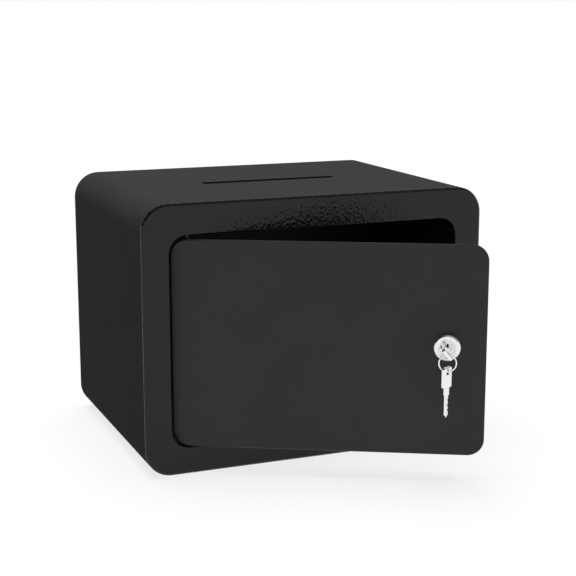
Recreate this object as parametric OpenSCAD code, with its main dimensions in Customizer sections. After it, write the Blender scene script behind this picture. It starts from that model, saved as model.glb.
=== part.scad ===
// Small steel cash safe with a slotted top, an outward-swinging door hinged
// at its left edge, and a cylinder lock with two keys on a ring.
// Frame: origin at the centre of the base, +Z up, the door faces -Y.
// The door is drawn standing ajar by door_open degrees.

/* [Body] */
// Outside width of the body
body_w = 230; // [225:1:236]
// Outside depth of the body, front face to back face
body_d = 169; // [160:1:180]
// Outside height of the body
body_h = 170; // [168:1:174]
// Radius of the four long edges of the body
body_r = 17; // [15:0.5:19]
// Thickness of the wrapped sheet and the back
sheet = 1.5; // [1.2:0.1:1.6]
// Thickness of the front frame
frame_t = 2; // [1.8:0.1:2.2]
// Chamfer round the front frame's outer edge
rim = 1.2; // [0.8:0.1:1.4]

/* [Doorway] */
// Clear width of the doorway
way_w = 194.2; // [194:0.1:195]
// Clear height of the doorway
way_h = 133.2; // [133:0.1:134]
// Sideways place of the doorway's centre
way_cx = -0.8; // [-1:0.1:-0.7]
// Height of the doorway's centre above the base
way_z = 84; // [83.8:0.1:84.2]
// Corner radius of the doorway
way_r = 11.2; // [11:0.1:11.6]
// Chamfer round the doorway
way_ease = 0.4; // [0.3:0.1:0.8]
// How deep the doorway's edge is folded in
way_fold = 8; // [7.6:0.1:8]

/* [Door] */
// How far the door stands open
door_open = 28.1; // [0:0.1:90]
// Left edge of the closed door
door_x0 = -95.1; // [-95.4:0.1:-94.8]
// Width of the door plate
door_w = 191; // [190:0.1:191]
// Height of the door plate
door_h = 130.1; // [129.6:0.1:130.2]
// Height of the door plate's centre above the base
door_z = 82.9; // [82.8:0.1:83.5]
// Thickness of the door plate
door_t = 2.5; // [2.3:0.1:2.5]
// Corner radius of the door plate
door_r = 10.2; // [10:0.1:11]
// Depth of the pan behind the door plate
pan_d = 18; // [17:0.5:20]

/* [Slot] */
// Length of the slot in the top
slot_l = 94; // [70:1:110]
// Width of the slot
slot_w = 9; // [5:0.5:12]
// Sideways place of the slot's centre
slot_x = -1.5; // [-5:0.5:5]
// Front to back place of the slot's centre
slot_y = -1.5; // [-5:0.5:5]

/* [Lock] */
// Sideways place of the lock's axis on the closed door
lock_x = 72.3; // [72:0.1:72.6]
// Height of the lock's axis
lock_z = 85.7; // [84:0.1:87]
// Diameter of the lock's head
head_dia = 16.2; // [15.5:0.1:17]
// How far the lock's head stands out from the door
head_h = 4; // [3.8:0.1:4.2]
// Length of the cam from the lock's axis
cam_l = 34; // [33:0.5:35]
// Angle of the keyway below the horizontal
key_tilt = 50; // [45:1:55]

/* [Keys] */
// Width of a key's bow
bow_w = 8; // [7.6:0.1:9]
// Height of a key's bow
bow_h = 12.5; // [12:0.1:13]
// Thickness of a key's bow
bow_t = 2; // [1.6:0.1:2]
// Mean radius of the key ring
ring_r = 5.1; // [5:0.1:5.4]
// Wire diameter of the key ring
ring_wire = 1.2; // [1:0.1:1.2]

/* [Anchors] */
// Diameter of the anchor holes
anchor_dia = 8.5; // [6:0.5:10]
// Distance between the two anchor holes of a pair
anchor_gap = 120; // [80:1:140]

/* [Hidden] */
$fn = 96;
e = 0.2;                          // how far a cut runs past a face
fy = -body_d / 2;                 // front plane
inner_w = body_w - 2 * sheet;     // inside of the wrapped sheet
inner_h = body_h - 2 * sheet;
inner_r = body_r - sheet;
mid_z = body_h / 2;
lap = 12;                         // how far the frame and back reach inside
way_x1 = way_cx + way_w / 2;        // right edge of the doorway
pivot_x = -85.2;                  // hinge axis
pivot_y = fy + 4.2;
plate_y = fy + door_t - pivot_y;    // back of the door plate from the hinge axis
pin_r = 1.5;
door_cx = door_x0 + door_w / 2;
post_z0 = 22;                     // lower hinge post
post_h = 24;
post_top = 2 * door_z - post_z0;  // top end of the upper post
pan_x0 = -72; pan_x1 = 82;        // pan behind the door
pan_z0 = 32; pan_z1 = 135;
pan_wall = 1.2;
pan_rim = 8;
stud_r = 1.5;
barrel_r = 6.2;
barrel_l = 12.5;                  // behind the door's front face
plug_r = 4;
plug_gap = 0.05;
cam_z = -barrel_l - 0.4;          // front of the cam, in the lock's frame
cam_t = 2;
tail = 5;
blade_w = 2.6; blade_t = 1.2; blade_l = 13.8;
neck_w = 3.8; neck_t = 1.6; neck_l = 4.3;
eye_w = 5.6; eye_h = 3.2;         // ring hole of a key
eye_z = neck_l + bow_h - 2.9;
face_z = head_h - 0.2;            // the shoulder of the key in the lock
ring_y = -0.3;                    // top of the ring, in the lock's frame
stop_z = [41, 126];               // heights of the door stops
bumper_x = 92.9;
bumper_r = 2.5;
tab_h = 12;                       // stop tabs
tab_w = 10;
strike_w = 11.5;                  // channel that the cam turns in behind
strike_d = 10.6;
strike_h = 30;
mat_w = 196; mat_d = 130;         // mat on the floor inside
mat_t = 2.5;
mat_r = 4;
knuckle_r = 3.2;                  // round part of a hinge post
flange_w = 8; flange_d = 3.4;     // flat part welded to the door plate
spacer_r = 2.7; spacer_h = 2.8;
pin_out = 11;                     // how far a pin stands out of its post
pin_stop = 3;                     // solid end of a post, short of its pin
stud_l = 5.6;
stud_nut = 5.5; stud_nut_t = 2.4; // across flats, and thickness
washer_r = 7.8; washer_t = 0.8;
nut_flats = 15; nut_t = 3.5;
plug_head_r = plug_r + 0.6;       // wider front end of the plug
plug_head_t = 1.4;
wafer_t = 0.7;
cam_hub_r = 7; cam_end_r = 6;
screw_r = 1.5;
screw_head_r = 2.8; screw_head_t = 1.9;
cam_washer_r = 4.5; cam_washer_t = 0.7;

// Rounded rectangle, centred
module rrect(w, h, r) {
  square([w - 2 * r, h], center = true);
  square([w, h - 2 * r], center = true);
  for (x = [-1, 1], y = [-1, 1])
    translate([x * (w / 2 - r), y * (h / 2 - r)]) circle(r);
}

// Upright slab from y0 to y1
module slab(w, h, r, y0, y1, cx = 0, cz = mid_z) {
  translate([cx, y1, cz]) rotate([90, 0, 0])
    linear_extrude(y1 - y0) rrect(w, h, r);
}

// Rounded rectangle that narrows by c over the height c
module taper(w, h, r, c) {
  for (x = [-1, 1], y = [-1, 1])
    translate([x * (w / 2 - r), y * (h / 2 - r), 0])
      cylinder(r1 = r, r2 = r - c, h = c);
  translate([-(w / 2 - r), 0, 0]) rotate([90, 0, 90]) linear_extrude(w - 2 * r)
    polygon([[-h / 2, 0], [h / 2, 0], [h / 2 - c, c], [-h / 2 + c, c]]);
  translate([0, h / 2 - r, 0]) rotate([90, 0, 0]) linear_extrude(h - 2 * r)
    polygon([[-w / 2, 0], [w / 2, 0], [w / 2 - c, c], [-w / 2 + c, c]]);
}

// Slab with the edge of its outer face chamfered; the outer face is local +Z
module eased(w, h, r, t, c) {
  linear_extrude(t - c) rrect(w, h, r);
  translate([0, 0, t - c]) taper(w, h, r, c);
}

// Turns what is drawn on the closed door to where the door stands
module on_door() {
  translate([pivot_x, pivot_y, 0]) rotate([0, 0, -door_open])
    translate([-pivot_x, -pivot_y, 0]) children();
}

// Lock frame: origin on the door's front face, +Z outward, +Y up
module at_lock() {
  on_door() translate([lock_x, fy, lock_z]) rotate([90, 0, 0]) children();
}

module body_shell() {
  color([0.17, 0.17, 0.175]) difference() {
    slab(body_w, body_h, body_r, fy + frame_t, -fy - sheet);
    slab(inner_w, inner_h, inner_r, fy, -fy);
    translate([slot_x, slot_y, body_h - 10]) linear_extrude(20)
      rrect(slot_l, slot_w, 1.5);
    for (s = [-1, 1]) translate([s * anchor_gap / 2, 0, -5])
      cylinder(d = anchor_dia, h = 15);
  }
}

module front_frame() {
  color([0.16, 0.16, 0.165]) difference() {
    union() {
      translate([0, fy + frame_t, mid_z]) rotate([90, 0, 0])
        eased(body_w, body_h, body_r, frame_t, rim);
      difference() {
        slab(inner_w, inner_h, inner_r, fy + 1, fy + frame_t + lap);
        slab(inner_w - 2 * sheet, inner_h - 2 * sheet, inner_r - sheet,
             fy + frame_t, fy + 30);
      }
      slab(way_w + 4, way_h + 4, way_r + 2, fy + 1, fy + way_fold, way_cx,
           way_z);
    }
    slab(way_w, way_h, way_r, fy - 5, fy + 30, way_cx, way_z);
    translate([way_cx, fy - e, way_z]) rotate([-90, 0, 0])
      taper(way_w + 2 * (way_ease + e), way_h + 2 * (way_ease + e),
            way_r + way_ease + e, way_ease + e);
    translate([pivot_x, pivot_y, way_z - way_h / 2 - 5])
      cylinder(r = pin_r + 0.05, h = 9);
    translate([pivot_x, pivot_y, way_z + way_h / 2 - 4])
      cylinder(r = pin_r + 0.05, h = 9);
  }
}

module back_panel() {
  color([0.16, 0.16, 0.165]) difference() {
    union() {
      translate([0, -fy - sheet, mid_z]) rotate([-90, 0, 0])
        eased(body_w, body_h, body_r, sheet, 0.6);
      difference() {
        slab(inner_w, inner_h, inner_r, -fy - sheet - lap, -fy - sheet + 0.5);
        slab(inner_w - 2 * sheet, inner_h - 2 * sheet, inner_r - sheet,
             0, -fy - sheet);
      }
    }
    for (s = [-1, 1]) translate([s * anchor_gap / 2, -fy + 5, mid_z])
      rotate([90, 0, 0]) cylinder(d = anchor_dia, h = 15);
  }
}

// Channel behind the right stile that the cam turns in behind
module strike_bracket() {
  color([0.45, 0.45, 0.46])
    translate([way_x1 + 2, fy + frame_t, lock_z - strike_h / 2]) {
    cube([strike_w, sheet, strike_h]);
    cube([sheet, strike_d, strike_h]);
    translate([0, strike_d - sheet, 0]) cube([strike_w, sheet, strike_h]);
  }
}

// Two angles behind the right stile that carry the bumpers
module stop_tabs() {
  color([0.16, 0.16, 0.165]) for (z = stop_z)
    translate([way_x1, fy, z - tab_h / 2]) {
      translate([-6.5, way_fold, 0]) cube([tab_w, sheet, tab_h]);
      translate([2, frame_t, 0]) cube([sheet, way_fold - frame_t + 1, tab_h]);
    }
}

module door_bumpers() {
  color([0.05, 0.05, 0.05]) for (z = stop_z)
    translate([bumper_x, fy + way_fold, z]) rotate([90, 0, 0])
      cylinder(r = bumper_r, h = way_fold - door_t - 0.4);
}

module floor_mat() {
  color([0.22, 0.22, 0.23]) translate([0, -0.5, sheet]) difference() {
    linear_extrude(mat_t) rrect(mat_w, mat_d, mat_r);
    for (s = [-1, 1]) translate([s * anchor_gap / 2, 0.5, -5])
      cylinder(d = anchor_dia + 5, h = 15);
  }
}

module door_panel() {
  color([0.18, 0.18, 0.185]) on_door() difference() {
    translate([door_cx, fy + door_t, door_z]) rotate([90, 0, 0])
      eased(door_w, door_h, door_r, door_t, 0.6);
    translate([lock_x, fy + 20, lock_z]) rotate([90, 0, 0])
      cylinder(r = barrel_r, h = 40);
  }
}

module door_pan() {
  cx = (pan_x0 + pan_x1) / 2;
  cz = (pan_z0 + pan_z1) / 2;
  w = pan_x1 - pan_x0;
  h = pan_z1 - pan_z0;
  color([0.16, 0.16, 0.165]) on_door() difference() {
    union() {
      slab(w, h, 6, fy + door_t, fy + door_t + pan_d, cx, cz);
      slab(w + 2 * pan_rim - 0.5, h + 2 * pan_rim, 6, fy + door_t,
           fy + door_t + pan_wall, cx - 0.25, cz);
    }
    slab(w - 2 * pan_wall, h - 2 * pan_wall, 6 - pan_wall, fy,
         fy + door_t + pan_d - pan_wall, cx, cz);
    translate([pan_x1 - 4, fy - cam_z - 0.6, lock_z - 7.5])
      cube([8, cam_t + 1.2, cam_l + 9.5]);
    for (p = stud_at) translate([p[0], fy + 20, p[1]]) rotate([90, 0, 0])
      cylinder(r = stud_r + 0.2, h = 40);
  }
}

// Weld studs at the pan's corners
stud_at = [for (x = [pan_x0 - 3.8, pan_x1 + 3.5],
                z = [pan_z0 + 14, pan_z1 - 14]) [x, z]];

module pan_studs() {
  color([0.72, 0.72, 0.73]) on_door() for (p = stud_at)
    translate([p[0], fy + door_t + stud_l, p[1]]) rotate([90, 0, 0])
      cylinder(r = stud_r, h = stud_l);
}

module pan_nuts() {
  color([0.72, 0.72, 0.73]) on_door() for (p = stud_at)
    translate([p[0], fy + door_t + pan_wall, p[1]]) rotate([-90, 0, 0])
      difference() {
        cylinder(r = stud_nut / 2 / cos(30), h = stud_nut_t, $fn = 6);
        translate([0, 0, -1]) cylinder(r = stud_r, h = 5);
      }
}

// Knuckle behind the door plate, bored for its pin
module post(z0) {
  on_door() translate([pivot_x, pivot_y, z0]) linear_extrude(post_h)
    difference() {
      union() {
        circle(knuckle_r);
        translate([-knuckle_r, plate_y]) square([flange_w, flange_d]);
      }
      translate([-10, plate_y - 20]) square([30, 20]);
      circle(pin_r);
    }
}

module hinge_post_top() { color([0.3, 0.3, 0.31]) post(post_top - post_h); }
module hinge_post_bottom() { color([0.3, 0.3, 0.31]) post(post_z0); }

module hinge_pin_top() {
  color([0.72, 0.72, 0.73]) on_door()
    translate([pivot_x, pivot_y, post_top - post_h + pin_stop])
      cylinder(r = pin_r, h = post_h - pin_stop + pin_out);
}

module hinge_pin_bottom() {
  color([0.72, 0.72, 0.73]) on_door()
    translate([pivot_x, pivot_y, post_z0 - pin_out])
      cylinder(r = pin_r, h = post_h - pin_stop + pin_out);
}

module hinge_spacers() {
  color([0.8, 0.8, 0.78]) on_door()
    for (z = [post_z0 - spacer_h - 0.1, post_top + 0.1]) translate([pivot_x, pivot_y, z])
      difference() {
        cylinder(r = spacer_r, h = spacer_h);
        translate([-5, plate_y - 9.9, -1]) cube([10, 10, 5]);
        translate([0, 0, -1]) cylinder(r = pin_r, h = 5);
      }
}

module lock_housing() {
  color([0.86, 0.86, 0.87]) at_lock() difference() {
    union() {
      rotate_extrude() polygon([[0, 0], [head_dia / 2, 0],
        [head_dia / 2, head_h - 0.9], [head_dia / 2 - 0.9, head_h],
        [0, head_h]]);
      translate([0, 0, -barrel_l]) cylinder(r = barrel_r, h = barrel_l + 1);
    }
    translate([0, 0, -barrel_l - 1])
      cylinder(r = plug_r + plug_gap, h = barrel_l + head_h + 2);
    translate([0, 0, head_h - 1.8])
      cylinder(r = plug_head_r + plug_gap, h = 5);
  }
}

module lock_washer() {
  color([0.75, 0.75, 0.76]) at_lock() translate([0, 0, -door_t - washer_t])
    difference() {
      cylinder(r = washer_r, h = washer_t);
      translate([0, 0, -1]) cylinder(r = barrel_r, h = 3);
    }
}

module lock_nut() {
  color([0.75, 0.75, 0.76]) at_lock()
    translate([0, 0, -door_t - washer_t - nut_t])
    difference() {
      rotate([0, 0, 30])
        cylinder(r = nut_flats / 2 / cos(30), h = nut_t, $fn = 6);
      translate([0, 0, -1]) cylinder(r = barrel_r, h = 6);
    }
}

module lock_plug() {
  color([0.82, 0.82, 0.83]) at_lock() rotate([0, 0, -key_tilt]) difference() {
    union() {
      translate([0, 0, -barrel_l - 0.1])
        cylinder(r = plug_r, h = barrel_l + face_z);
      translate([0, 0, head_h - 1.7])
        cylinder(r = plug_head_r, h = plug_head_t);
      translate([-tail / 2, -tail / 2, cam_z - cam_t])
        cube([tail, tail, cam_t + 1]);
    }
    translate([-blade_w / 2 - 0.1, -blade_t / 2 - 0.1, -11])
      cube([blade_w + 0.2, blade_t + 0.2, 30]);
    translate([0, 0, cam_z - cam_t - 1]) cylinder(r = screw_r, h = 4.3);
    for (z = wafer_at) translate([-10, -2.55, z - 0.45]) cube([20, 5.1, 0.9]);
  }
}

wafer_at = [0.6, -2, -4.6, -7.2];

module lock_wafers() {
  color([0.75, 0.6, 0.3]) at_lock() rotate([0, 0, -key_tilt])
    for (z = wafer_at) translate([0, 0, z - wafer_t / 2]) linear_extrude(wafer_t)
      difference() {
        intersection() {
          square([7.6, 4.9], center = true);
          circle(plug_r - 0.05);
        }
        square([3.1, 1.7], center = true);
      }
}

// Flat cam; at rest it points straight up, clear of the strike
module lock_cam() {
  color([0.75, 0.75, 0.76]) at_lock() translate([0, 0, cam_z - cam_t])
    difference() {
      union() {
        cylinder(r = cam_hub_r, h = cam_t);
        translate([-cam_end_r, 0, 0])
          cube([2 * cam_end_r, cam_l - cam_end_r, cam_t]);
        translate([0, cam_l - cam_end_r, 0]) cylinder(r = cam_end_r, h = cam_t);
      }
      rotate([0, 0, -key_tilt]) translate([-tail / 2, -tail / 2, -1])
        cube([tail, tail, 5]);
    }
}

module cam_washer() {
  color([0.75, 0.75, 0.76]) at_lock()
    translate([0, 0, cam_z - cam_t - cam_washer_t])
    difference() {
      cylinder(r = cam_washer_r, h = cam_washer_t);
      translate([0, 0, -1]) cylinder(r = screw_r, h = 3);
    }
}

module cam_screw() {
  color([0.75, 0.75, 0.76]) at_lock() difference() {
    union() {
      translate([0, 0, cam_z - cam_t - cam_washer_t])
        cylinder(r = screw_r, h = 3.7);
      translate([0, 0, cam_z - cam_t - cam_washer_t - screw_head_t])
        cylinder(r = screw_head_r, h = screw_head_t);
    }
    for (a = [0, 90]) rotate([0, 0, a])
      translate([-1.5, -0.3, cam_z - cam_t - 3]) cube([3, 0.6, 1.5]);
  }
}

// Flat key: the shoulder stands at z = 0, the bow above it, the blade below
module key() {
  rotate([90, 0, 0]) {
    linear_extrude(bow_t, center = true) difference() {
      translate([0, neck_l + bow_h / 2]) rrect(bow_w, bow_h, 1.2);
      translate([0, eye_z]) rrect(eye_w, eye_h, 0.8);
    }
    linear_extrude(neck_t, center = true)
      translate([-neck_w / 2, 0]) square([neck_w, neck_l + 1]);
    linear_extrude(blade_t, center = true)
      polygon([[-1.3, 0.5], [1.3, 0.5], [1.3, -2], [0.7, -2.8], [0.7, -3.6],
        [1.1, -4.4], [1.1, -5.2], [0.5, -6], [0.5, -6.6], [1.2, -7.6],
        [1.2, -8.2], [0.6, -9], [0.6, -9.6], [1.3, -10.6], [1.3, -12.2],
        [0, -blade_l], [-1.3, -12.4]]);
  }
}

module door_key() {
  color([0.9, 0.9, 0.9]) at_lock() translate([0, 0, face_z])
    rotate([0, 0, -key_tilt]) key();
}

module key_ring() {
  color([0.9, 0.9, 0.9]) at_lock()
    translate([0.3, ring_y - ring_r, face_z + eye_z])
      rotate_extrude() translate([ring_r, 0]) circle(d = ring_wire, $fn = 48);
}

module spare_key() {
  color([0.9, 0.9, 0.9]) at_lock()
    translate([-0.1, ring_y - 2 * ring_r - 0.25 - eye_z, face_z + eye_z])
      rotate([0, 55, 0]) rotate([-90, 0, 0]) key();
}

body_shell();
front_frame();
back_panel();
strike_bracket();
stop_tabs();
door_bumpers();
floor_mat();
door_panel();
door_pan();
pan_studs();
pan_nuts();
hinge_post_top();
hinge_post_bottom();
hinge_pin_top();
hinge_pin_bottom();
hinge_spacers();
lock_housing();
lock_washer();
lock_nut();
lock_plug();
lock_wafers();
lock_cam();
cam_washer();
cam_screw();
door_key();
key_ring();
spare_key();
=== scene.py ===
"""Small steel cash safe with a slotted top, an outward-swinging door and a
cylinder lock with two keys on a ring. Metres; the door faces -Y, +Z is up."""
import math

import bmesh
import bpy
from mathutils import Euler, Matrix, Vector, noise


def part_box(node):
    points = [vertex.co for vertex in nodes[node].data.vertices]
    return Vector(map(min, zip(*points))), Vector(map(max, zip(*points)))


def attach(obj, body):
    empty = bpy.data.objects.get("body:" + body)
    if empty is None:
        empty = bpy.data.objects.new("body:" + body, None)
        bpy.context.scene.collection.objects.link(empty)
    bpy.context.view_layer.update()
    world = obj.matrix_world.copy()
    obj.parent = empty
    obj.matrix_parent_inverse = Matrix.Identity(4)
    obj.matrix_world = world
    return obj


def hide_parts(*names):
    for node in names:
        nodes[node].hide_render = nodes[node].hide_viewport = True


MM = 0.001
SKY = 0.3          # brightness of the upper sky, on its bright side
AWAY = 0.03        # share of the sky's light that is left behind the safe
HAZE = 0.92        # brightness of the pale band all round the horizon
SUN = 3.9          # brightness the soft top light alone gives white paint
GLOW = 0.80        # the floor's own light, which softens the shadow on it
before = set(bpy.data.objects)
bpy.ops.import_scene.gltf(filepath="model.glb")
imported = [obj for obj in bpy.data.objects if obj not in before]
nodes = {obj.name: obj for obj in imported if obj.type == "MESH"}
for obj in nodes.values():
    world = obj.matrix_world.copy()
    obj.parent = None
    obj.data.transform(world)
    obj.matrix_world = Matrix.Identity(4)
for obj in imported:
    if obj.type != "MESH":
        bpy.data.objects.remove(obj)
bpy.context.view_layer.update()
scene = bpy.context.scene
scene.view_settings.view_transform = "Standard"

# ---------------------------------------------------------------- camera
cam_data = bpy.data.cameras.new("camera")
cam_data.lens = 84.74
cam_data.sensor_width = 36
cam_data.clip_start = 0.01
cam_data.clip_end = 2000
cam_data.dof.use_dof = False
cam = bpy.data.objects.new("camera", cam_data)
scene.collection.objects.link(cam)
cam.location = (-0.331871, -0.85115, 0.288455)
cam.rotation_euler = Euler(
    (math.radians(90 - 11.972), 0, math.radians(-22.067)))
scene.camera = cam

# ------------------------------------------------- where the door stands
DOOR_OPEN = math.radians(28.1)
PIVOT = Vector((-0.0852, -0.0803, 0))
FRONT_Y = -0.0845
LOCK_AT = (0.0723, FRONT_Y, 0.0857)          # on the closed door
ON_DOOR = (Matrix.Translation(PIVOT) @ Matrix.Rotation(-DOOR_OPEN, 4, "Z")
           @ Matrix.Translation(-PIVOT))
# lock frame: +Z straight out of the door, +Y up
AT_LOCK = (ON_DOOR @ Matrix.Translation(LOCK_AT)
           @ Matrix.Rotation(math.radians(90), 4, "X"))
KEY_TILT = math.radians(-50)


# ------------------------------------------------------------- materials
class Nodes:
    """A Principled material and short ways to add nodes to it."""

    def __init__(self, name, base, rough, metallic=0.0, level=0.5):
        self.mat = bpy.data.materials.new(name)
        self.mat.use_nodes = True
        self.tree = self.mat.node_tree
        self.bsdf = self.tree.nodes["Principled BSDF"]
        self.set("Base Color", (*base, 1))
        self.set("Roughness", rough)
        self.set("Metallic", metallic)
        self.set("Specular IOR Level", level)
        coord = self.tree.nodes.new("ShaderNodeTexCoord")
        self.coord = coord.outputs["Object"]

    def set(self, socket, value):
        self.bsdf.inputs[socket].default_value = value

    def add(self, kind, inputs=None, **settings):
        node = self.tree.nodes.new(kind)
        for key, value in settings.items():
            setattr(node, key, value)
        for key, value in (inputs or {}).items():
            if isinstance(value, bpy.types.NodeSocket):
                self.tree.links.new(value, node.inputs[key])
            else:
                node.inputs[key].default_value = value
        return node

    def scaled(self, scale, at=None):
        node = self.add("ShaderNodeMapping",
                        {"Vector": at or self.coord, "Scale": scale})
        return node.outputs["Vector"]

    def noise(self, scale, detail=3.0, rough=0.5, distort=0.0, at=None):
        node = self.add("ShaderNodeTexNoise", {
            "Vector": at or self.coord, "Scale": scale, "Detail": detail,
            "Roughness": rough, "Distortion": distort})
        return node.outputs["Fac"]

    def cells(self, scale, smooth=0.5, at=None):
        node = self.add("ShaderNodeTexVoronoi", {
            "Vector": at or self.coord, "Scale": scale, "Smoothness": smooth},
            feature="SMOOTH_F1")
        return node.outputs["Distance"]

    def ramp(self, value, low, high, a, b):
        node = self.add("ShaderNodeMapRange", {
            "Value": value, "From Min": low, "From Max": high,
            "To Min": a, "To Max": b})
        return node.outputs["Result"]

    def math(self, operation, a, b):
        return self.add("ShaderNodeMath", {0: a, 1: b},
                        operation=operation).outputs["Value"]

    def tint(self, value, a, b):
        node = self.add("ShaderNodeMix", data_type="RGBA")
        self.tree.links.new(value, node.inputs["Factor"])
        node.inputs["A"].default_value = (*a, 1)
        node.inputs["B"].default_value = (*b, 1)
        return node.outputs["Result"]

    def link(self, value, socket):
        self.tree.links.new(value, self.bsdf.inputs[socket])

    def bump(self, height, depth, strength=1.0, after=None):
        inputs = {"Height": height, "Distance": depth, "Strength": strength}
        if after is not None:
            inputs["Normal"] = after
        return self.add("ShaderNodeBump", inputs).outputs["Normal"]


def paint(name, dark, light, rough, level, peel, peel_depth,
          wrinkle=0.0, wrinkle_depth=0.0):
    """Powder coat: cloudy tone, orange peel, and optional leathery wrinkle."""
    m = Nodes(name, dark, rough, level=level)
    cloud = m.noise(18, 4, 0.55)
    speck = m.noise(2600, 2, 0.6)
    tone = m.math("ADD", m.ramp(cloud, 0.3, 0.7, 0.0, 0.7),
                  m.ramp(speck, 0.35, 0.65, 0.0, 0.3))
    m.link(m.tint(tone, dark, light), "Base Color")
    m.link(m.ramp(m.noise(45, 3, 0.6), 0.3, 0.7, rough - 0.02, rough + 0.02),
           "Roughness")
    normal = m.bump(m.noise(peel, 2, 0.5), peel_depth)
    if wrinkle:
        at = m.scaled((1.0, 1.0, 0.55))
        warp = m.add("ShaderNodeTexNoise", {
            "Vector": at, "Scale": wrinkle * 0.8, "Detail": 2.0})
        push = m.add("ShaderNodeVectorMath", {
            0: warp.outputs["Color"], 1: (0.5 / wrinkle,) * 3},
            operation="MULTIPLY").outputs["Vector"]
        at = m.add("ShaderNodeVectorMath", {0: at, 1: push},
                   operation="ADD").outputs["Vector"]
        folds = m.cells(wrinkle, 0.35, at)
        fine = m.noise(wrinkle * 2.4, 3, 0.55, 0.6, at)
        height = m.math("ADD", folds, m.math("MULTIPLY", fine, 0.45))
        normal = m.bump(height, wrinkle_depth, after=normal)
    m.link(normal, "Normal")
    return m.mat


def metal(name, base, rough, streak, streak_axes, depth, spread=0.06):
    """Plated or bare metal with brushing, faint stains and fine scratches."""
    m = Nodes(name, base, rough, metallic=1.0)
    brush = m.noise(streak, 3, 0.6, at=m.scaled(streak_axes))
    return finish_metal(m, base, rough, brush, depth, spread)


def turned(name, base, rough, depth, spread=0.05):
    """Plated metal turned on the lock's axis: fine rings about that axis."""
    m = Nodes(name, base, rough, metallic=1.0)
    local = m.add("ShaderNodeMapping", {
        "Vector": m.coord, "Location": AT_LOCK.to_translation(),
        "Rotation": AT_LOCK.to_euler()}, vector_type="TEXTURE")
    flat = m.scaled((1.0, 1.0, 0.0), local.outputs["Vector"])
    radius = m.add("ShaderNodeVectorMath", {0: flat},
                   operation="LENGTH").outputs["Value"]
    rings = m.add("ShaderNodeTexNoise", {
        "W": radius, "Scale": 5200.0, "Detail": 3.0, "Roughness": 0.65},
        noise_dimensions="1D").outputs["Fac"]
    return finish_metal(m, base, rough, rings, depth, spread)


def finish_metal(m, base, rough, grain, depth, spread):
    """Links the grain and faint stains to colour, roughness and normal."""
    stain = m.noise(90, 3, 0.5)
    dim = tuple(c * 0.97 for c in base)
    m.link(m.tint(m.ramp(stain, 0.35, 0.75, 0.0, 1.0), base, dim),
           "Base Color")
    mix = m.math("ADD", m.math("MULTIPLY", grain, 0.7),
                 m.math("MULTIPLY", stain, 0.3))
    m.link(m.ramp(mix, 0.3, 0.7, rough - spread, rough + spread), "Roughness")
    m.link(m.bump(grain, depth), "Normal")
    return m.mat


def rubber(name):
    m = Nodes(name, (0.012, 0.012, 0.012), 0.72, level=0.3)
    m.link(m.tint(m.noise(900, 3, 0.6), (0.009,) * 3, (0.02,) * 3),
           "Base Color")
    m.link(m.bump(m.noise(1800, 3, 0.6), 0.00005), "Normal")
    return m.mat


def felt(name):
    m = Nodes(name, (0.03, 0.03, 0.032), 0.95, level=0.1)
    fibre = m.noise(1400, 5, 0.75, 1.2, m.scaled((1.0, 0.35, 1.0)))
    cross = m.noise(1100, 5, 0.75, 1.2, m.scaled((0.35, 1.0, 1.0)))
    mix = m.math("MAXIMUM", fibre, cross)
    pill = m.noise(160, 4, 0.6)
    tone = m.math("ADD", m.math("MULTIPLY", mix, 0.75),
                  m.math("MULTIPLY", pill, 0.4))
    m.link(m.tint(m.ramp(tone, 0.45, 0.85, 0.0, 1.0),
                  (0.014, 0.014, 0.015), (0.055, 0.055, 0.058)),
           "Base Color")
    m.set("Sheen Weight", 0.35)
    m.set("Sheen Roughness", 0.5)
    m.link(m.bump(mix, 0.0003), "Normal")
    return m.mat


MATS = {
    "shell_paint": paint("shell_paint", (0.0118,) * 3, (0.0138,) * 3,
                         0.62, 0.006, 1500, 0.00002),
    "frame_paint": paint("frame_paint", (0.0012,) * 3, (0.0022,) * 3,
                         0.07, 0.32, 1500, 0.00001,
                         wrinkle=820, wrinkle_depth=0.0002),
    "back_paint": paint("back_paint", (0.014,) * 3, (0.018,) * 3,
                        0.5, 0.15, 1500, 0.000022),
    "door_paint": paint("door_paint", (0.0085,) * 3, (0.0105,) * 3,
                        0.5, 0.36, 1900, 0.000012),
    "pan_paint": paint("pan_paint", (0.006,) * 3, (0.009,) * 3,
                       0.48, 0.3, 1500, 0.00002),
    "zinc": metal("zinc", (0.62, 0.63, 0.65), 0.34, 700, (1, 1, 1), 0.00001),
    "chrome": turned("chrome", (0.92, 0.92, 0.93), 0.26, 0.0000006, 0.02),
    "nickel": metal("nickel", (0.86, 0.855, 0.845), 0.2, 1500, (1, 1, 0.15),
                    0.000004),
    "wafer_brass": metal("wafer_brass", (0.72, 0.52, 0.24), 0.3, 1200,
                         (1, 1, 1), 0.000005),
    "spacer_steel": metal("spacer_steel", (0.03, 0.03, 0.032), 0.5, 900,
                          (1, 1, 0.2), 0.00001),
    "rubber": rubber("rubber"),
    "felt": felt("felt"),
}


# ---------------------------------------------------------------- pieces
FLAT_ANGLE = math.radians(0.4)     # facets closer than this are one face
EDGE_ANGLE = math.radians(28)      # sharper than this is an edge to round
SHARP_ANGLE = math.radians(38)     # sharper than this is shaded as an edge


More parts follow.
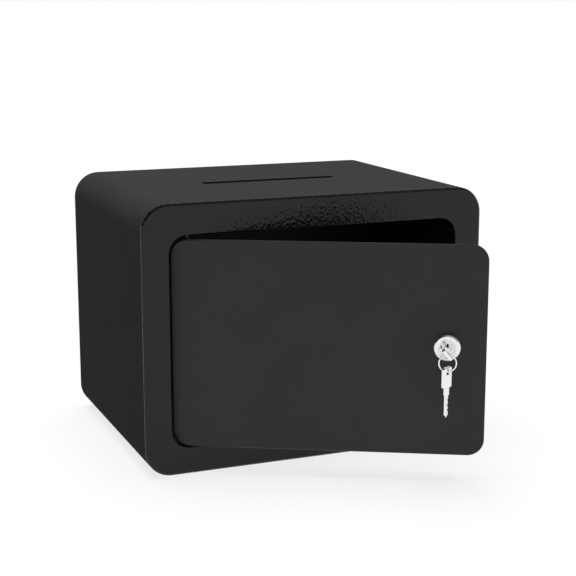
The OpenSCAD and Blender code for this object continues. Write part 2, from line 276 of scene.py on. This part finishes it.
def soften(node, slot, width):
    """Keeps a CAD node: merges its facets, rounds its edges, paints it."""
    obj = nodes[node]
    weld = obj.modifiers.new("weld", "WELD")
    weld.merge_threshold = 1e-6
    flat = obj.modifiers.new("flat", "DECIMATE")
    flat.decimate_type = "DISSOLVE"
    flat.angle_limit = FLAT_ANGLE
    edge = obj.modifiers.new("edge", "BEVEL")
    edge.width = width * MM
    edge.segments = 2
    edge.limit_method = "ANGLE"
    edge.angle_limit = EDGE_ANGLE
    edge.use_clamp_overlap = False
    edge.miter_outer = "MITER_ARC"
    shade = obj.modifiers.new("shade", "WEIGHTED_NORMAL")
    shade.weight = 100
    for holder in obj.material_slots:
        holder.material = MATS[slot]


for name, slot, width in (
        ("body_shell", "shell_paint", 0.3),
        ("front_frame", "frame_paint", 0.3),
        ("back_panel", "back_paint", 0.2),
        ("strike_bracket", "zinc", 0.25),
        ("stop_tabs", "back_paint", 0.25),
        ("door_bumpers", "rubber", 0.5),
        ("door_panel", "door_paint", 0.22),
        ("door_pan", "pan_paint", 0.3),
        ("pan_nuts", "zinc", 0.2),
        ("hinge_post_top", "pan_paint", 0.2),
        ("hinge_post_bottom", "pan_paint", 0.2),
        ("hinge_pin_top", "spacer_steel", 0.2),
        ("hinge_pin_bottom", "spacer_steel", 0.2),
        ("hinge_spacers", "spacer_steel", 0.15),
        ("lock_housing", "chrome", 0.15),
        ("lock_washer", "zinc", 0.1),
        ("lock_nut", "zinc", 0.3),
        ("lock_plug", "chrome", 0.06),
        ("lock_wafers", "wafer_brass", 0.04),
        ("lock_cam", "zinc", 0.2),
        ("cam_washer", "zinc", 0.1),
        ("cam_screw", "zinc", 0.12)):
    soften(name, slot, width)


def add_piece(name, bm, body, slot):
    """Links a finished bmesh as a piece that rides on a body."""
    mesh = bpy.data.meshes.new(name)
    bmesh.ops.recalc_face_normals(bm, faces=bm.faces)
    bm.to_mesh(mesh)
    bm.free()
    mesh.materials.append(MATS[slot])
    mesh.polygons.foreach_set("use_smooth", [True] * len(mesh.polygons))
    obj = bpy.data.objects.new(name, mesh)
    scene.collection.objects.link(obj)
    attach(obj, body)
    return obj


def evaluated(obj):
    """The mesh of a helper object with its modifiers applied."""
    scene.collection.objects.link(obj)
    bpy.context.view_layer.update()
    graph = bpy.context.evaluated_depsgraph_get()
    mesh = bpy.data.meshes.new_from_object(obj.evaluated_get(graph))
    data = obj.data
    bpy.data.objects.remove(obj)
    if isinstance(data, bpy.types.Curve):
        bpy.data.curves.remove(data)
    return mesh


def rounded(width, height, radius, x=0.0, y=0.0, steps=7):
    """Points of a rectangle with round corners, in millimetres."""
    points = []
    for quarter, (sx, sy) in enumerate(((1, 1), (-1, 1), (-1, -1), (1, -1))):
        for i in range(steps + 1):
            angle = math.radians(90 * (quarter + i / steps))
            points.append((x + sx * (width / 2 - radius)
                           + radius * math.cos(angle),
                           y + sy * (height / 2 - radius)
                           + radius * math.sin(angle)))
    return points


def plate(outlines, thick, edge):
    """Mesh of a flat plate, centred on its own plane, with rounded edges.
    The first outline is its rim and the others are holes; millimetres."""
    curve = bpy.data.curves.new("outline", "CURVE")
    curve.dimensions = "2D"
    curve.fill_mode = "BOTH"
    curve.extrude = (thick / 2 - edge) * MM
    curve.bevel_depth = edge * MM
    curve.bevel_resolution = 3
    curve.offset = -edge * MM
    for points in outlines:
        line = curve.splines.new("POLY")
        line.points.add(len(points) - 1)
        for spot, (x, y) in zip(line.points, points):
            spot.co = (x * MM, y * MM, 0, 1)
        line.use_cyclic_u = True
    mesh = evaluated(bpy.data.objects.new("outline", curve))
    bm = bmesh.new()
    bm.from_mesh(mesh)
    bpy.data.meshes.remove(mesh)
    bmesh.ops.remove_doubles(bm, verts=bm.verts, dist=1e-6)
    return bm


def joined(parts, place):
    """One bmesh of several, moved to where place says."""
    whole = bmesh.new()
    for part in parts:
        mesh = bpy.data.meshes.new("part")
        part.to_mesh(mesh)
        part.free()
        whole.from_mesh(mesh)
        bpy.data.meshes.remove(mesh)
    bmesh.ops.transform(whole, matrix=place, verts=whole.verts)
    return whole


def united(parts, place):
    """One closed bmesh: the union of several, moved to where place says."""
    objects = []
    for part in parts:
        mesh = bpy.data.meshes.new("part")
        part.to_mesh(mesh)
        part.free()
        objects.append(bpy.data.objects.new("part", mesh))
    base, others = objects[0], objects[1:]
    for other in others:
        scene.collection.objects.link(other)
        union = base.modifiers.new("union", "BOOLEAN")
        union.operation = "UNION"
        union.solver = "EXACT"
        union.object = other
    mesh = evaluated(base)
    for other in others:
        bpy.data.objects.remove(other)
    whole = bmesh.new()
    whole.from_mesh(mesh)
    bpy.data.meshes.remove(mesh)
    bmesh.ops.remove_doubles(whole, verts=whole.verts, dist=1e-7)
    bmesh.ops.transform(whole, matrix=place, verts=whole.verts)
    return whole


# ---- keys: a rounded bow with a ring hole, a neck, and a grooved blade
BOW_W, BOW_H, BOW_T = 8.0, 12.5, 2.0
NECK_W, NECK_L, NECK_T = 3.8, 4.3, 1.6
BLADE_T, WEB_T = 1.2, 0.7
EYE_Y = NECK_L + BOW_H - 2.9
FACE_Z = 3.8                     # the key's shoulder, in the lock's frame
RING_TOP, RING_R, RING_X = -0.3, 5.1, 0.3
EYE_W, EYE_H, EYE_R = 3.0, 2.2, 0.9
EYE_DROP = 0.4                   # how far the eye is nearer the blade
SPARE_TURN = math.radians(55)    # how the spare key hangs on the ring
SPARE_X, SPARE_DROP = -0.1, 0.25
CUTS = [(1.3, 0.5), (1.3, -2), (0.7, -2.8), (0.7, -3.6), (1.1, -4.4),
        (1.1, -5.2), (0.5, -6), (0.5, -6.6), (1.2, -7.6), (1.2, -8.2),
        (0.6, -9), (0.6, -9.6), (1.3, -10.6), (1.3, -12.2)]
TIP = [(0, -13.8), (-1.3, -12.4)]
BACK = [(-1.3, 0.5)]
# the blade is thick along its back and its cuts, with a groove between
SPINE = [(-0.5, 1.0), (-1.28, 1.0), (-1.28, -12.35), (-0.5, -13.05)]
GROOVE_SIDE = [(0.45, -13.05), (0.1, -12.6), (0.1, 1.0)]
TEETH = ([(1.28, 1.0)] + [(x - 0.02, y) for x, y in CUTS[1:]]
         + GROOVE_SIDE)


def key(name, node, body, place):
    """A whole key as one solid that stands for a CAD key on its body."""
    neck = rounded(NECK_W, NECK_L + 1.4, 0.4, 0, (NECK_L + 0.6) / 2)
    piece = add_piece(name, united([
        plate([rounded(BOW_W, BOW_H, 1.2, 0, NECK_L + BOW_H / 2),
               rounded(EYE_W, EYE_H, EYE_R, 0, EYE_Y - EYE_DROP)], BOW_T, 0.28),
        plate([neck], NECK_T, 0.2),
        plate([CUTS + TIP + BACK], WEB_T, 0.05),
        plate([SPINE], BLADE_T, 0.1),
        plate([TEETH], BLADE_T, 0.1)], place), body, "nickel")
    shade_by_angle(piece)
    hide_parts(node)


def shade_by_angle(piece):
    """Smooth shading that keeps the edges of a made piece crisp."""
    shade = piece.modifiers.new("shade", "WEIGHTED_NORMAL")
    shade.weight = 100
    shade.keep_sharp = True
    piece.data.set_sharp_from_angle(angle=SHARP_ANGLE)


def turn(angle, axis):
    return Matrix.Rotation(angle, 4, axis)


key("door_key_milled", "door_key", "key",
    AT_LOCK @ Matrix.Translation((0, 0, FACE_Z * MM))
    @ turn(KEY_TILT, "Z") @ turn(math.radians(90), "X"))
key("spare_key_milled", "spare_key", "spare",
    AT_LOCK @ Matrix.Translation((
        SPARE_X * MM, (RING_TOP - 2 * RING_R - SPARE_DROP - EYE_Y) * MM,
        (FACE_Z + EYE_Y) * MM))
    @ turn(SPARE_TURN, "Y"))


# ---- split ring: two flat turns of springy wire, one on the other
def split_ring(turns=2.0, pitch=0.44, wire=(0.78, 0.42), steps=144, sides=12):
    """A coil of flat wire with both ends closed; millimetres."""
    bm = bmesh.new()
    rows = []
    for i in range(int(turns * steps) + 1):
        angle = 2 * math.pi * i / steps - math.pi / 3
        lift = pitch * (i / steps - turns / 2)
        row = []
        for k in range(sides):
            a = 2 * math.pi * (k + 0.5) / sides
            c, d = math.cos(a), math.sin(a)
            out = wire[0] / 2 * math.copysign(abs(c) ** 0.6, c)
            up = wire[1] / 2 * math.copysign(abs(d) ** 0.6, d)
            row.append(bm.verts.new((
                (RING_R + out) * math.cos(angle) * MM,
                (RING_R + out) * math.sin(angle) * MM, (lift + up) * MM)))
        rows.append(row)
    for one, two in zip(rows, rows[1:]):
        for k in range(sides):
            n = (k + 1) % sides
            bm.faces.new((one[k], one[n], two[n], two[k]))
    bm.faces.new(rows[0])
    bm.faces.new(rows[-1])
    bmesh.ops.transform(bm, verts=bm.verts, matrix=AT_LOCK
                        @ Matrix.Translation((
                            RING_X * MM, (RING_TOP - RING_R) * MM,
                            (FACE_Z + EYE_Y) * MM)))
    ring = add_piece("split_ring", bm, "ring", "nickel")
    shade_by_angle(ring)
    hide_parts("key_ring")


split_ring()

# ---- marks on the plug's face: an index line, and a dark sheet over the keyway mouth that is painted shade standing for the shadowed opening
PLUG_FACE = 3.7
MARK_T = 0.08
for name, size, at in (("lock_index", (0.75, 2.4, 0.35), (-3.55, 0.8)),
                       # the keyway sheet is painted shade: a dark patch for the
                       # shade inside the keyway's opening, not a real part
                       ("keyway_painted_shade", (1.3, 3.2, 0.6), (0.3, 1.2))):
    shape = plate([rounded(*size, *at)], MARK_T, 0.02)
    bmesh.ops.transform(shape, verts=shape.verts, matrix=AT_LOCK
                        @ Matrix.Translation((0, 0, PLUG_FACE * MM)))
    add_piece(name, shape, "plug", "rubber")


# ---- weld studs with a rolled thread
ROWS_PER_TURN = 8
LEAD_IN, LEAD_R = 0.4, 0.78      # the tip narrows over its last part


def thread(x, z, radius, length, pitch=0.5, depth=0.16, around=32):
    """A threaded stud along +Y from the back of the door plate."""
    bm = bmesh.new()
    count = int(length / pitch * ROWS_PER_TURN)
    rows = []
    for i in range(count + 1):
        along = length * i / count
        row = []
        for k in range(around):
            phase = (along / pitch - k / around) % 1.0
            ridge = abs(2 * phase - 1)
            tip = min(1.0, (length - along) / LEAD_IN)
            r = (radius - depth * ridge) * (LEAD_R + (1 - LEAD_R) * tip)
            a = 2 * math.pi * k / around
            row.append(bm.verts.new(((x + r * math.cos(a)) * MM,
                                     along * MM,
                                     (z + r * math.sin(a)) * MM)))
        rows.append(row)
    for one, two in zip(rows, rows[1:]):
        for k in range(around):
            n = (k + 1) % around
            bm.faces.new((one[k], one[n], two[n], two[k]))
    bm.faces.new(rows[0])
    bm.faces.new(rows[-1])
    return bm


PLATE_T = 2.5
STUD_R, STUD_L = 1.5, 5.6
STUD_X = (-75.8, 85.5)
STUD_Z = (46, 121)
studs = add_piece("threaded_studs", joined(
    [thread(x, z, STUD_R, STUD_L) for x in STUD_X for z in STUD_Z],
    ON_DOOR @ Matrix.Translation((0, FRONT_Y + PLATE_T * MM, 0))),
    "door", "zinc")
shade_by_angle(studs)
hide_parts("pan_studs")


# ---- felt mat on the floor inside: soft edges and a faintly lumpy face
MAT_W, MAT_D, MAT_T, MAT_R = 196, 130, 2.2, 4
ANCHOR_X = 60                    # the mat is cut out over the anchor holes
MAT_HOLE, MAT_HOLE_R = 13.5, 6.74
MAT_LIFT = 0.12                  # its underside is this far above the CAD's
MAT_GRID = 1.4
LUMPS = ((45, 0.10), (420, 0.07))       # how close together, and how high


def felt_mat():
    """The mat, evened into a fine grid so that its upper face can be lumpy."""
    low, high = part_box("floor_mat")
    outline = [rounded(MAT_W, MAT_D, MAT_R)]
    for side in (-1, 1):
        outline.append(rounded(MAT_HOLE, MAT_HOLE, MAT_HOLE_R,
                               side * ANCHOR_X, 0.5, 10))
    bm = plate(outline, MAT_T, 0.6)
    mesh = bpy.data.meshes.new("mat")
    bm.to_mesh(mesh)
    bm.free()
    obj = bpy.data.objects.new("mat", mesh)
    remesh = obj.modifiers.new("even", "REMESH")
    remesh.mode = "VOXEL"
    remesh.voxel_size = MAT_GRID * MM
    fine = evaluated(obj)
    bm = bmesh.new()
    bm.from_mesh(fine)
    middle = Vector(((low[0] + high[0]) / 2, (low[1] + high[1]) / 2,
                     low[2] + (MAT_T / 2 + MAT_LIFT) * MM))
    for vert in bm.verts:
        lump = sum(noise.noise(vert.co * scale) * height
                   for scale, height in LUMPS)
        if vert.co.z > 0:
            vert.co.z += lump * MM
    bmesh.ops.translate(bm, verts=bm.verts, vec=middle)
    mat = add_piece("felt_mat", bm, "safe", "felt")
    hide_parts("floor_mat")


felt_mat()

# ----------------------------------------------------------------- stage
FLOOR_R = 900
FLOOR_GAP = 0.05 * MM            # keeps the two flat faces apart
FRONT_LIGHT = (0.45, -0.89, 0)   # the side the sky is bright on
floor_mesh = bpy.data.meshes.new("floor")
bm = bmesh.new()
bmesh.ops.create_circle(bm, cap_ends=True, radius=FLOOR_R, segments=96)
bm.to_mesh(floor_mesh)
bm.free()
floor = bpy.data.objects.new("floor", floor_mesh)
scene.collection.objects.link(floor)
floor.location.z = -FLOOR_GAP
floor_mat = Nodes("floor_plain", (0.055, 0.055, 0.055), 0.9, level=0.0)
floor_mat.set("Emission Color", (1, 1, 1, 1))
floor_mat.set("Emission Strength", GLOW)
floor_mesh.materials.append(floor_mat.mat)

world = bpy.data.worlds.new("world")
scene.world = world
world.use_nodes = True
sky = world.node_tree
coord = sky.nodes.new("ShaderNodeTexCoord")
fade = []
for direction, span in (((0, 0, 1), (0.10, 0.45, 1.02, SKY)),
                        (FRONT_LIGHT, (-0.35, 0.3, AWAY, 1.0)),
                        ((0, 0, 1), (0.12, 0.19, HAZE, 0.0))):
    along = sky.nodes.new("ShaderNodeVectorMath")
    along.operation = "DOT_PRODUCT"
    along.inputs[1].default_value = direction
    sky.links.new(coord.outputs["Generated"], along.inputs[0])
    part = sky.nodes.new("ShaderNodeMapRange")
    part.interpolation_type = "SMOOTHSTEP"
    for socket, value in zip(("From Min", "From Max", "To Min", "To Max"),
                             span):
        part.inputs[socket].default_value = value
    sky.links.new(along.outputs["Value"], part.inputs["Value"])
    fade.append(part.outputs["Result"])
both = sky.nodes.new("ShaderNodeMath")
both.operation = "MULTIPLY"
sky.links.new(fade[0], both.inputs[0])
sky.links.new(fade[1], both.inputs[1])
haze = sky.nodes.new("ShaderNodeMath")
haze.operation = "MAXIMUM"
sky.links.new(both.outputs["Value"], haze.inputs[0])
sky.links.new(fade[2], haze.inputs[1])
sky.links.new(haze.outputs["Value"], sky.nodes["Background"].inputs["Strength"])
sky.nodes["Background"].inputs["Color"].default_value = (1, 1, 1, 1)

sun_data = bpy.data.lights.new("sun", "SUN")
sun_data.energy = SUN * math.pi
sun_data.angle = math.radians(50)
sun = bpy.data.objects.new("sun", sun_data)
scene.collection.objects.link(sun)
sun.visible_glossy = False       # it lights the paint without a hot spot
sun.rotation_euler = Vector((-0.03, 0.2, 0.98)).to_track_quat(
    "Z", "Y").to_euler()
